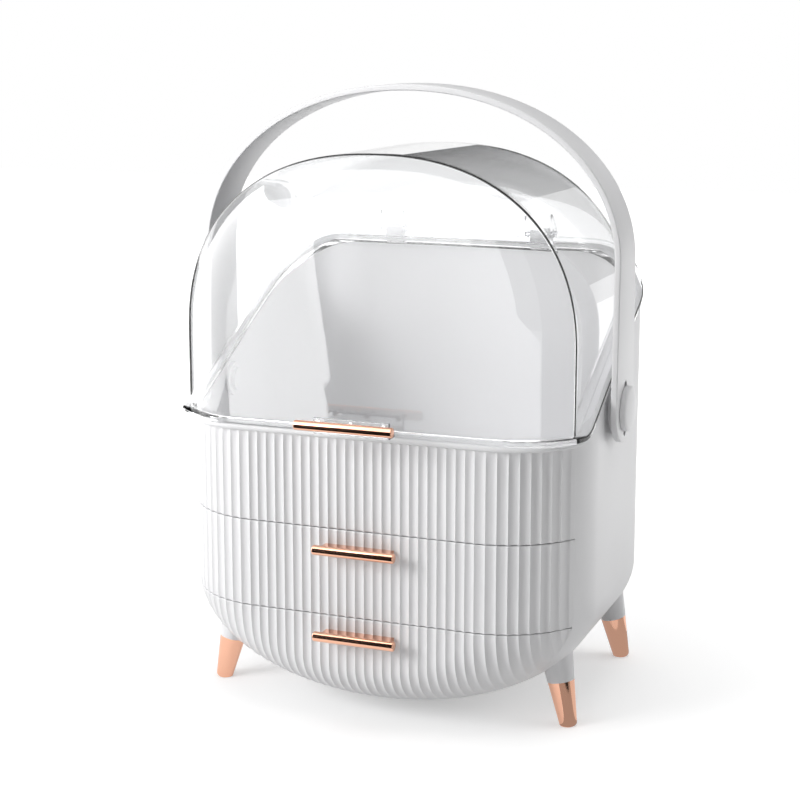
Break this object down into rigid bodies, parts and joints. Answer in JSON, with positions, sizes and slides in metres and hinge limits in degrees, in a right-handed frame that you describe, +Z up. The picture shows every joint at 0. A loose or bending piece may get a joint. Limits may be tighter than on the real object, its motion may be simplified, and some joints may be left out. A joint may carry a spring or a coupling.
{
  "type": "cosmetics organizer",
  "caption": "Egg-fronted white cosmetics box with fluted drawers, a clear hinged dustproof lid, an arched carry handle and splayed legs with metal caps",
  "frame": {"origin": "on the floor, at the middle of the overall footprint", "axes": "+X to the right, -Y to the front with the drawers, +Z up"},
  "size_m": [0.3062, 0.2422, 0.413],
  "materials": {
    "white_shell": "satin moulded ABS",
    "white_fluted": "satin moulded ABS with vertical flutes",
    "white_inner": "plain moulded ABS",
    "clear": "clear polished polystyrene",
    "rose_gold": "polished rose-gold plating",
    "steel": "plain zinc-plated steel",
    "washer": "matte rubber"
  },
  "bodies": {
    "box": {"housing_shell": "white_shell", "rim_lip": "white_shell", "upper_front_panel": "white_fluted", "top_deck": "white_inner", "middle_shelf": "white_inner", "hinge_pins": "steel", "left_pivot_button": "white_shell", "right_pivot_button": "white_shell", "friction_washers": "washer", "pivot_nuts": "white_inner", "leg_front_left": "white_shell", "leg_front_right": "white_shell", "leg_rear_left": "white_shell", "leg_rear_right": "white_shell", "cap_front_left": "rose_gold", "cap_front_right": "rose_gold", "cap_rear_left": "rose_gold", "cap_rear_right": "rose_gold", "leg_screws": "steel"},
    "upper_drawer": {"upper_drawer_tray": "white_inner", "upper_drawer_front": "white_fluted", "upper_drawer_pull": "rose_gold", "upper_pull_screws": "steel"},
    "lower_drawer": {"lower_drawer_tray": "white_inner", "lower_drawer_front": "white_fluted", "lower_drawer_pull": "rose_gold", "lower_pull_screws": "steel"},
    "lid": {"lid_dome": "clear", "lid_pull_bracket": "clear", "lid_pull_bar": "rose_gold"},
    "handle": {"carry_handle": "white_shell"}
  },
  "joints": [
    {"name": "upper_drawer_slide", "type": "slide", "parent": "box", "child": "upper_drawer", "axis": [0, -1, 0], "range_m": [0, 0.11]},
    {"name": "lower_drawer_slide", "type": "slide", "parent": "box", "child": "lower_drawer", "axis": [0, -1, 0], "range_m": [0, 0.11]},
    {"name": "handle_swing", "type": "hinge", "parent": "box", "child": "handle", "pos_m": [0, 0.004, 0.205], "axis": [-1, 0, 0], "range_deg": [0, 130]},
    {"name": "lid_hinge", "type": "hinge", "parent": "box", "child": "lid", "pos_m": [0, 0.1167, 0.3042], "axis": [-1, 0, 0], "range_deg": [0, 80.6]}
  ],
  "couplings": [
    {"joint": "lid_hinge", "follows": "handle_swing", "ratio": 0.62}
  ]
}
